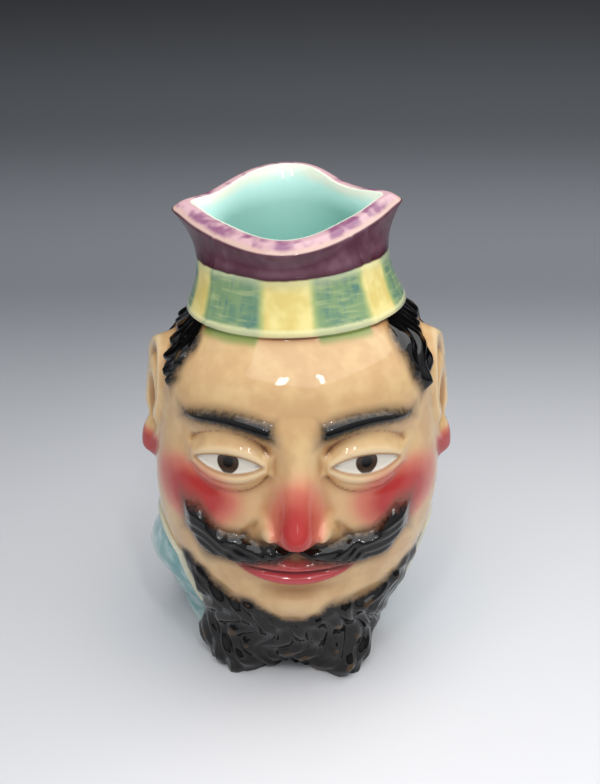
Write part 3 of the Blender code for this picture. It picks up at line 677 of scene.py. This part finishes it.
# The plain cup that is turned first: its outside has radius 1 and its inside radius 0.5, and
# a corner's height on it is the label that the functions above read.
OUTSIDE = 1.0
INSIDE = 0.5
RIM_LABEL = RIM_SIDE_HEIGHT
FOOT_LABEL = -10.0
RECESS_SHARE = 0.8
RING_SHARE = 0.85
FLOOR_SHARES = (0.85, 0.6, 0.3, 0.0)
LIP_SHARES = (0.08, 0.2, 0.35, 0.5, 0.65, 0.8, 0.92)


def cup_profile():
    """Corners of the plain cup's section, from under its foot, up, over the lip and down inside."""
    profile = [(share, FOOT_LABEL) for share in (0.0, RECESS_SHARE / 2, RECESS_SHARE, RING_SHARE)]
    rows = int(BAND_BOTTOM / ROW_STEP)
    for row in range(rows):
        profile.append((OUTSIDE, (BAND_BOTTOM - 0.7) * row / (rows - 1)))
    profile.append((OUTSIDE, BAND_BOTTOM + 0.2))
    rows = int((RIM_LABEL - BAND_BOTTOM) / CAP_ROW_STEP)
    for row in range(1, rows + 1):
        profile.append((OUTSIDE, BAND_BOTTOM + 0.2 + (RIM_LABEL - BAND_BOTTOM - 0.2) * row / rows))
    for share in LIP_SHARES:
        profile.append((OUTSIDE + (INSIDE - OUTSIDE) * share, RIM_LABEL))
    rows = int(RIM_LABEL / INNER_STEP)
    for row in range(rows + 1):
        profile.append((INSIDE, RIM_LABEL * (1 - row / rows)))
    for share in FLOOR_SHARES:
        profile.append((INSIDE * share, 0.0))
    return profile


def turned_cup():
    """The plain cup, spun once round its axis."""
    cup = bmesh.new()
    corners = [cup.verts.new((0.0, -radius, label)) for radius, label in cup_profile()]
    edges = [cup.edges.new(pair) for pair in zip(corners, corners[1:])]
    bmesh.ops.spin(
        cup, geom=corners + edges, cent=(0, 0, 0), axis=(0, 0, 1),
        angle=2 * math.pi, steps=COLUMNS, use_merge=True)
    bmesh.ops.remove_doubles(cup, verts=cup.verts, dist=1e-5)
    bmesh.ops.recalc_face_normals(cup, faces=cup.faces)
    mesh = bpy.data.meshes.new("head")
    cup.to_mesh(mesh)
    cup.free()
    return mesh


def corner_array(mesh):
    """Every corner of a mesh, as rows of x, y and z."""
    spots = np.empty(len(mesh.vertices) * 3, np.float32)
    mesh.vertices.foreach_get("co", spots)
    return spots.reshape(-1, 3).astype(float)


def keep_paint(mesh, name, values):
    """Store a paint's distance or strength at every corner."""
    layer = mesh.attributes.new(name, "FLOAT", "POINT")
    layer.data.foreach_set("value", np.asarray(values, np.float32))


def eased(mesh, spots, rounds):
    """The corners moved to the middle of their neighbours, several times over."""
    ends = np.empty(len(mesh.edges) * 2, np.int32)
    mesh.edges.foreach_get("vertices", ends)
    first, second = ends.reshape(-1, 2).T
    count = len(spots)
    neighbours = np.bincount(first, minlength=count) + np.bincount(second, minlength=count)
    for _ in range(rounds):
        total = np.stack([
            np.bincount(first, weights=spots[second, axis], minlength=count)
            + np.bincount(second, weights=spots[first, axis], minlength=count)
            for axis in range(3)], axis=1)
        spots = 0.5 * spots + 0.5 * total / neighbours[:, None]
    return spots


def make_head():
    """The head, cap, collar and foot: the cast body of the mug."""
    mesh = turned_cup()
    flat = corner_array(mesh)
    reach = np.hypot(flat[:, 0], flat[:, 1])
    even_turn = np.arctan2(flat[:, 0], -flat[:, 1])
    turn = even_turn - FRONT_DENSITY * np.sin(even_turn)
    label = flat[:, 2]

    spots, paints = outer_place(turn, np.clip(label, 0, RIM_LABEL))
    outer = np.stack(spots, axis=1)
    floor = FLOOR_THICKNESS / UNIT
    inner_label = floor + np.clip(label, 0, RIM_LABEL) * (RIM_LABEL - floor) / RIM_LABEL
    inner = np.stack(inner_place(turn, inner_label), axis=1)

    place = outer.copy()
    underside = label < -0.5
    inside = (reach <= INSIDE + 1e-4) & ~underside
    lip = (reach < OUTSIDE - 1e-4) & ~inside & ~underside

    over = (OUTSIDE - reach) / (OUTSIDE - INSIDE)
    across = outer * (1 - over[:, None]) + inner * over[:, None]
    across[:, 2] += RIM_ROUNDING * np.sin(math.pi * over)
    place[lip] = across[lip]

    from_floor = np.clip((inner_label - floor) / FLOOR_ROUNDING, 0, 1)
    cove = FLOOR_ROUNDING * (1 - np.sqrt(1 - (1 - from_floor) ** 2))
    inner[:, 0] -= cove * np.sin(turn)
    inner[:, 1] += cove * np.cos(turn)
    place[inside] = inner[inside]
    on_floor = inside & (reach < INSIDE - 1e-4)
    place[on_floor, :2] = inner[on_floor, :2] * (reach[on_floor] / INSIDE)[:, None]

    ring = FOOT_RING_WIDTH / UNIT
    recess = FOOT_RECESS / UNIT
    inner_edge = head_radius(turn, 0 * turn) - ring
    on_ring = reach > (RECESS_SHARE + RING_SHARE) / 2
    inward = np.where(on_ring, inner_edge, (inner_edge - recess) * reach / RECESS_SHARE)
    place[underside, 0] = (inward * np.sin(turn) + chin_shift(0.0))[underside]
    place[underside, 1] = (-inward * np.cos(turn))[underside]
    place[underside, 2] = np.where(on_ring, 0.0, recess)[underside]

    paints["inward"] = np.where(inside, 1 + (RIM_LABEL - inner_label) / RIM_LABEL, np.where(lip, over, 0))
    not_outside = inside | lip | underside
    for name in ("black", "lips", "eye", "iris", "pupil", "collar"):
        paints[name] = np.where(not_outside, -20, paints[name])
    for name in ("rouge", "crest", "ear"):
        paints[name] = np.where(not_outside, 0, paints[name])

    place = place * UNIT + np.array([AXIS_X, AXIS_Y, 0.0])
    mesh.vertices.foreach_set("co", place.astype(np.float32).ravel())
    mesh.update()
    normals = np.empty(len(place) * 3, np.float32)
    mesh.vertex_normals.foreach_get("vector", normals)
    normals = normals.reshape(-1, 3)
    # How far each corner lies below its eased neighbours: the glaze pools where this is high, and
    # highlights are painted on the ridges where it is below 0.
    for name, rounds in (("crease", 10), ("hollow", 60)):
        depth = ((eased(mesh, place, rounds) - place) * normals).sum(axis=1) / UNIT
        paints[name] = np.where(not_outside, 0, depth)
    for name, values in paints.items():
        keep_paint(mesh, name, values)

    head = bpy.data.objects.new("head", mesh)
    bpy.context.collection.objects.link(head)
    mesh.shade_smooth()
    mesh.materials.append(painted_glaze())
    mesh.materials.append(bare_biscuit())
    under = np.zeros(len(mesh.polygons), np.int32)
    for face in mesh.polygons:
        at_foot = all(underside[corner] or label[corner] < 0.1 for corner in face.vertices)
        under[face.index] = at_foot and face.normal.z < -0.9
    mesh.polygons.foreach_set("material_index", under)
    return head


def handle_place(share):
    """Middle of the handle at a share of its length: how far behind the axis, and how high."""
    height = smooth_through(share, HANDLE_LINE, 2)
    root = head_radius(np.full(share.shape, math.pi), height) * UNIT - 0.4 * WALL
    reach = 0.4 * WALL + FINGER_GAP + HANDLE_THICKNESS / 2
    return root + smooth_through(share, HANDLE_LINE, 1) * reach, height * UNIT


def make_handle():
    """The loop handle: a flattened rod bent along its line, thicker where it joins the head."""
    rod = bmesh.new()
    bmesh.ops.create_cone(
        rod, cap_ends=True, segments=HANDLE_SIDES, radius1=0.5, radius2=0.5, depth=1.0)
    long_edges = [edge for edge in rod.edges if abs(edge.verts[0].co.z - edge.verts[1].co.z) > 0.5]
    bmesh.ops.subdivide_edges(rod, edges=long_edges, cuts=HANDLE_RINGS, use_grid_fill=True)
    mesh = bpy.data.meshes.new("handle")
    rod.to_mesh(mesh)
    rod.free()
    flat = corner_array(mesh)
    share = flat[:, 2] + 0.5
    y, z = handle_place(share)
    step = 1e-3
    ahead_y, ahead_z = handle_place(np.clip(share + step, 0, 1))
    behind_y, behind_z = handle_place(np.clip(share - step, 0, 1))
    length = np.hypot(ahead_y - behind_y, ahead_z - behind_z)
    along_y = (ahead_y - behind_y) / length
    along_z = (ahead_z - behind_z) / length
    flare = 1 - ramp(0, 0.16, np.minimum(share, 1 - share))
    half_width = flat[:, 0] * (HANDLE_WIDTH + 2 * HANDLE_JOINT_FLARE * flare)
    half_depth = flat[:, 1] * (HANDLE_THICKNESS + 2 * HANDLE_JOINT_FLARE * flare)
    place = np.stack([
        AXIS_X + half_width,
        AXIS_Y + y - along_z * half_depth,
        z + along_y * half_depth], axis=1)
    mesh.vertices.foreach_set("co", place.astype(np.float32).ravel())
    shape = bmesh.new()
    shape.from_mesh(mesh)
    bmesh.ops.recalc_face_normals(shape, faces=shape.faces)
    shape.to_mesh(mesh)
    shape.free()
    handle = bpy.data.objects.new("handle", mesh)
    bpy.context.collection.objects.link(handle)
    mesh.shade_smooth()
    mesh.materials.append(aubergine_glaze())
    return handle


def linear(hex_colour):
    """A linear colour with full alpha from an sRGB hex value."""
    shares = [int(hex_colour[place:place + 2], 16) / 255 for place in (1, 3, 5)]
    return [s / 12.92 if s <= 0.04045 else ((s + 0.055) / 1.055) ** 2.4 for s in shares] + [1.0]


def add(tree, kind, settings=None, links=None):
    """Add one node with its settings and its links."""
    node = tree.nodes.new(kind)
    for key, value in (settings or {}).items():
        if isinstance(key, str) and hasattr(node, key):
            setattr(node, key, value)
        else:
            node.inputs[key].default_value = value
    for key, source in (links or {}).items():
        tree.links.new(source, node.inputs[key])
    return node


def layer(tree, under, over, source, low, high, wobble=None, amount=0.0, strength=1.0):
    """Paint over a colour where a source rises from low to high, its edge broken up by a wobble."""
    if isinstance(source, str):
        source = add(tree, "ShaderNodeAttribute", {"attribute_name": source}).outputs["Fac"]
    if wobble is not None:
        centred = add(tree, "ShaderNodeMath", {"operation": "SUBTRACT", 1: 0.5}, {0: wobble})
        source = add(
            tree, "ShaderNodeMath", {"operation": "MULTIPLY_ADD", 1: amount},
            {0: centred.outputs[0], 2: source}).outputs[0]
    share = add(
        tree, "ShaderNodeMapRange",
        {"interpolation_type": "SMOOTHSTEP", "From Min": low, "From Max": high, "To Max": strength},
        {"Value": source})
    settings = {"data_type": "RGBA"}
    links = {0: share.outputs[0]}
    for slot, paint in ((6, under), (7, over)):
        if isinstance(paint, str):
            settings[slot] = linear(paint)
        else:
            links[slot] = paint
    return add(tree, "ShaderNodeMix", settings, links).outputs[2]


# Feature sizes of the painting and the glaze, in millimetres.
BRUSH_MARK = 1.6
PAINT_CLOUD = 9.0
GLAZE_RIPPLE = 7.0
GLAZE_PATCH = 12.0


def grain(tree, size_mm, detail=2.0, stretch=(1.0, 1.0, 1.0)):
    """Noise whose marks are about a size across, stretched along an axis where that is under 1."""
    coordinates = add(tree, "ShaderNodeTexCoord")
    scaled = add(
        tree, "ShaderNodeMapping", {"Scale": [1000 * share / size_mm for share in stretch]},
        {"Vector": coordinates.outputs["Object"]})
    noise = add(
        tree, "ShaderNodeTexNoise", {"Scale": 1.0, "Detail": detail, "Roughness": 0.55},
        {"Vector": scaled.outputs[0]})
    return noise.outputs["Fac"]


def new_material(name, roughness, ior):
    """A material with a Principled shader of one roughness and refractive index."""
    material = bpy.data.materials.new(name)
    material.use_nodes = True
    tree = material.node_tree
    shader = tree.nodes["Principled BSDF"]
    shader.inputs["Roughness"].default_value = roughness
    shader.inputs["IOR"].default_value = ior
    return material, tree, shader


def painted_glaze():
    """Painted underglaze colours below a thick, clear lead glaze: wet-looking and pooled in the hollows;
    highlights painted on ridges, shade in the ears.
    """
    material, tree, shader = new_material("painted_majolica_glaze", 0.06, 1.45)
    brush = grain(tree, BRUSH_MARK, 3.0)
    cloud = grain(tree, PAINT_CLOUD)
    patch = grain(tree, GLAZE_PATCH, 3.0)

    # Flesh: pale on the ridges, where the glaze runs thin and a highlight is painted, amber where the
    # glaze lies thick in a fold.
    colour = layer(tree, "#d2aa7a", "#debb88", cloud, 0.35, 0.7)
    # Painted highlight: paler flesh on the ridges, over the thinner glaze there.
    colour = layer(tree, colour, "#ecd2a8", "hollow", -0.2, -1.0, strength=0.7)
    colour = layer(tree, colour, "#b98a58", "hollow", 0.10, 1.1, strength=0.85)
    colour = layer(tree, colour, "#96602f", "crease", 0.10, 0.60, strength=0.6)
    # Painted shade: brown in the ear's bowl and the groove inside its rim, with the glaze pooled there
    # too.
    colour = layer(tree, colour, "#a06c3c", "ear", 0.1, 1.0, strength=0.7)
    colour = layer(tree, colour, "#d47c64", "rouge", 0.10, 0.50, cloud, 0.15)
    colour = layer(tree, colour, "#b03030", "rouge", 0.34, 0.90, cloud, 0.25, strength=0.95)

    # Eyes and lips.
    colour = layer(tree, colour, "#8a5a34", "eye", -1.4, -0.1, strength=0.6)
    colour = layer(tree, colour, "#dcd4c6", "eye", -0.1, 0.5)
    colour = layer(tree, colour, "#3d2b1f", "iris", -0.1, 0.4)
    colour = layer(tree, colour, "#0b0909", "pupil", -0.2, 0.5)
    colour = layer(tree, colour, "#d65f5c", "lips", -0.6, 0.6, brush, 0.8)
    colour = layer(tree, colour, "#a83240", "lips", 0.8, 3.0, cloud, 3.0, strength=0.6)
    colour = layer(tree, colour, "#561c1c", "crease", 0.34, 0.70, strength=0.6)

    # Hair: black brushed thickly, and worn to brown in an oval on the top of some locks.
    hair = layer(tree, "#060505", "#4d371e", "crest", 0.84, 1.02, patch, 1.6, strength=0.8)
    colour = layer(tree, colour, "#64503c", "black", -4.6, 0.3, cloud, 3.5, strength=0.65)
    colour = layer(tree, colour, hair, "black", -1.6, 1.6, brush, 2.6)

    # Collar: teal that runs pale where it is thin, whitish on its ridges as a painted highlight over the
    # thinner glaze, with a narrow cream edge.
    cloth = layer(tree, "#5f9c9c", "#b9cfcf", cloud, 0.28, 0.72)
    # Painted highlight: whitish teal on the collar's ridges, over the thinner glaze there.
    cloth = layer(tree, cloth, "#c9d2ce", "hollow", -0.1, -0.9, strength=0.7)
    cloth = layer(tree, cloth, "#1f5c54", "hollow", 0.1, 1.2, strength=0.8)
    cloth = layer(tree, cloth, "#d8d6bd", "collar", 2.2, 1.2, brush, 0.6)
    colour = layer(tree, colour, cloth, "collar", -0.6, 0.6, brush, 0.8)

    # Cap band: green washes between yellow panels, on a pale ledge, with a little green run below it.
    stroke = grain(tree, 2.4, 2.0, (1.0, 1.0, 0.10))
    wash = grain(tree, 1.5, 2.0, (0.12, 0.12, 1.0))
    green = layer(tree, "#87a477", "#4a7d77", patch, 0.42, 0.64, strength=0.8)
    green = layer(tree, green, "#3a7480", stroke, 0.50, 0.72, strength=0.45)
    green = layer(tree, green, "#bcc890", wash, 0.48, 0.70, strength=0.5)
    green = layer(tree, "#afbe7c", green, "panel", 0.2, 3.0, cloud, 2.0)
    band = layer(tree, "#f6e69a", "#e8d27f", cloud, 0.4, 0.65)
    band = layer(tree, band, green, "panel", -1.6, 1.2, cloud, 2.4)
    band = layer(tree, band, "#cfd2a6", "brim", -4.5, -0.6, cloud, 2.0, strength=0.55)
    band = layer(tree, band, "#f8f3bd", "cap", 2.5, 1.5, brush, 0.8, strength=0.6)
    above_run = layer(tree, "#000000", "#ffffff", "cap", -6.0, -0.4)
    under_green = layer(tree, "#000000", "#ffffff", "panel", -0.5, 2.5)
    clear_of_hair = layer(tree, "#000000", "#ffffff", "black", 0.0, -2.0)
    run = add(tree, "ShaderNodeMath", {"operation": "MULTIPLY"}, {0: above_run, 1: under_green}).outputs[0]
    run = add(tree, "ShaderNodeMath", {"operation": "MULTIPLY"}, {0: run, 1: clear_of_hair}).outputs[0]
    colour = layer(tree, colour, "#75934a", run, 0.2, 1.0, cloud, 0.5, strength=0.85)
    colour = layer(tree, colour, band, "cap", -0.1, 0.1)

    # Brim: aubergine, darker where it pools over the band, thin and pink on the lip, with a pale highlight
    # line painted along the lip's outer edge.
    purple = layer(tree, "#58323f", "#704c5a", cloud, 0.36, 0.70)
    purple = layer(tree, purple, "#451f2b", "brim", 5.0, 0.0, cloud, 3.0)
    lip = layer(tree, "#d4adb2", "#8a5078", cloud, 0.42, 0.64, strength=0.9)
    # Painted highlight: a pale pink-cream line along the outer edge of the lip, where the glaze also runs
    # thin.
    purple = layer(tree, purple, "#d8b5a8", "inward", 0.02, 0.10)
    purple = layer(tree, purple, lip, "inward", 0.12, 0.34, cloud, 0.2)
    colour = layer(tree, colour, purple, "brim", -0.6, 0.6, cloud, 2.0)

    # Inside: turquoise, creamy where it thins just under the lip.
    inside = layer(tree, "#eef5e0", "#cffcf2", "inward", 1.003, 1.025, cloud, 0.02)
    inside = layer(tree, inside, "#bafff4", "inward", 1.04, 1.25)
    colour = layer(tree, colour, inside, "inward", 0.80, 0.95, brush, 0.1)

    tree.links.new(colour, shader.inputs["Base Color"])
    ripple = add(
        tree, "ShaderNodeBump", {"Strength": 0.22, "Distance": 0.0006},
        {"Height": grain(tree, GLAZE_RIPPLE, 1.0)})
    tree.links.new(ripple.outputs[0], shader.inputs["Normal"])
    return material


def aubergine_glaze():
    """Manganese-purple lead glaze on the handle: two purples mottled at random."""
    material, tree, shader = new_material("aubergine_lead_glaze", 0.07, 1.58)
    colour = layer(tree, "#553644", "#6a4c5c", grain(tree, PAINT_CLOUD), 0.38, 0.72)
    tree.links.new(colour, shader.inputs["Base Color"])
    ripple = add(
        tree, "ShaderNodeBump", {"Strength": 0.22, "Distance": 0.0006},
        {"Height": grain(tree, GLAZE_RIPPLE, 1.0)})
    tree.links.new(ripple.outputs[0], shader.inputs["Normal"])
    return material


def bare_biscuit():
    """Bare fired earthenware where the glaze was wiped off the foot: cream, dry and matt."""
    material, tree, shader = new_material("bare_earthenware_biscuit", 0.85, 1.5)
    colour = layer(tree, "#d9c7a4", "#c0a57a", grain(tree, 3.0, 4.0), 0.4, 0.7)
    tree.links.new(colour, shader.inputs["Base Color"])
    return material


def backdrop_paper():
    """Matt studio paper, pale under the mug and painted darker grey up the sweep behind it and towards the
    left, as painted shade where the light falls off.
    """
    material, tree, shader = new_material("backdrop_paper_painted_falloff_shade", 0.9, 1.45)
    place = add(tree, "ShaderNodeTexCoord")
    parts = add(tree, "ShaderNodeSeparateXYZ", links={0: place.outputs["Object"]})
    # Painted shade: the paper darkens away from the mug, to the left and up the sweep, where the lamps'
    # light falls off.
    colour = layer(tree, "#e6e6e8", "#86898e", parts.outputs["Y"], -0.20, 1.05 * SWEEP_START)
    colour = layer(tree, colour, "#7d8085", parts.outputs["X"], 0.0, -0.20, strength=0.28)
    colour = layer(tree, colour, "#53565a", parts.outputs["Z"], -0.01, 0.13)
    colour = layer(tree, colour, "#26272a", parts.outputs["Z"], 0.10, 0.32)
    tree.links.new(colour, shader.inputs["Base Color"])
    return material


# The backdrop: half its width, where it starts to curve up, and how widely, in metres.
SWEEP_HALF_SIZE = 3.0
SWEEP_START = 0.55
SWEEP_RADIUS = 0.6


def make_backdrop():
    """One sheet of paper that lies under the mug and sweeps up behind it."""
    sheet = bmesh.new()
    bmesh.ops.create_grid(sheet, x_segments=1, y_segments=240, size=SWEEP_HALF_SIZE)
    for corner in sheet.verts:
        past = corner.co.y - SWEEP_START
        angle = min(max(past / SWEEP_RADIUS, 0), math.pi / 2)
        if past > 0:
            corner.co.y = SWEEP_START + SWEEP_RADIUS * math.sin(angle)
            corner.co.z = SWEEP_RADIUS * (1 - math.cos(angle)) + max(past - SWEEP_RADIUS * math.pi / 2, 0)
    mesh = bpy.data.meshes.new("backdrop")
    sheet.to_mesh(mesh)
    sheet.free()
    backdrop = bpy.data.objects.new("backdrop", mesh)
    bpy.context.collection.objects.link(backdrop)
    mesh.shade_smooth()
    mesh.materials.append(backdrop_paper())
    return backdrop


# The camera: where the photograph was taken from, in metres, and its angle of view.
CAMERA_X = AXIS_X + 0.0009
CAMERA_Y = AXIS_Y - 0.3529
CAMERA_Z = 0.2391
CAMERA_PITCH = 21.0
CAMERA_ROLL = 0.0
FOCAL_PIXELS = 950.0
PHOTO_HEIGHT = 784
SENSOR = 36.0


def make_camera():
    """The camera at the photograph's place and angle."""
    lens = bpy.data.cameras.new("camera")
    lens.sensor_width = SENSOR
    lens.lens = FOCAL_PIXELS / PHOTO_HEIGHT * SENSOR
    lens.clip_start = 0.01
    camera = bpy.data.objects.new("camera", lens)
    bpy.context.collection.objects.link(camera)
    camera.location = (CAMERA_X, CAMERA_Y, CAMERA_Z)
    camera.rotation_euler = (math.radians(90 - CAMERA_PITCH), math.radians(CAMERA_ROLL), 0)
    bpy.context.scene.camera = camera


# Lamps: name, place, what it faces, width, height and power in watts.
LAMPS = (
    ("left_strip", (-0.16, -0.72, 0.98), (0.0, -0.05, 0.10), 0.05, 0.24, 1.1),
    ("right_strip", (0.20, -0.72, 0.98), (0.0, -0.05, 0.10), 0.05, 0.24, 1.4),
    ("overhead", (0.22, -0.16, 1.12), (0.0, 0.0, 0.05), 1.80, 1.10, 12.4),
)
ROOM_LOW = "#7c8086"
ROOM_HIGH = "#eef1f6"
ROOM_STRENGTH = 0.70


def make_lights():
    """Two small strip lamps before the mug, a large soft light over it, and a room lit from above."""
    for name, place, target, width, height, power in LAMPS:
        light = bpy.data.lights.new(name, "AREA")
        light.shape = "RECTANGLE"
        light.size = width
        light.size_y = height
        light.energy = power
        lamp = bpy.data.objects.new(name, light)
        bpy.context.collection.objects.link(lamp)
        lamp.location = place
        aim = [end - start for start, end in zip(place, target)]
        across = math.hypot(aim[0], aim[1])
        lamp.rotation_euler = (math.atan2(across, -aim[2]), 0, math.atan2(aim[1], aim[0]) - math.pi / 2)
    world = bpy.data.worlds.new("studio")
    world.use_nodes = True
    tree = world.node_tree
    sky = tree.nodes["Background"]
    around = add(tree, "ShaderNodeTexCoord")
    parts = add(tree, "ShaderNodeSeparateXYZ", links={0: around.outputs["Generated"]})
    tree.links.new(layer(tree, ROOM_LOW, ROOM_HIGH, parts.outputs["Z"], -0.05, 0.60), sky.inputs["Color"])
    sky.inputs["Strength"].default_value = ROOM_STRENGTH
    bpy.context.scene.world = world
    bpy.context.scene.view_settings.view_transform = "Standard"


make_camera()
make_lights()
make_backdrop()
head = make_head()
handle = make_handle()
for piece in (head, handle):
    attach(piece, "root")
    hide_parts("mug")
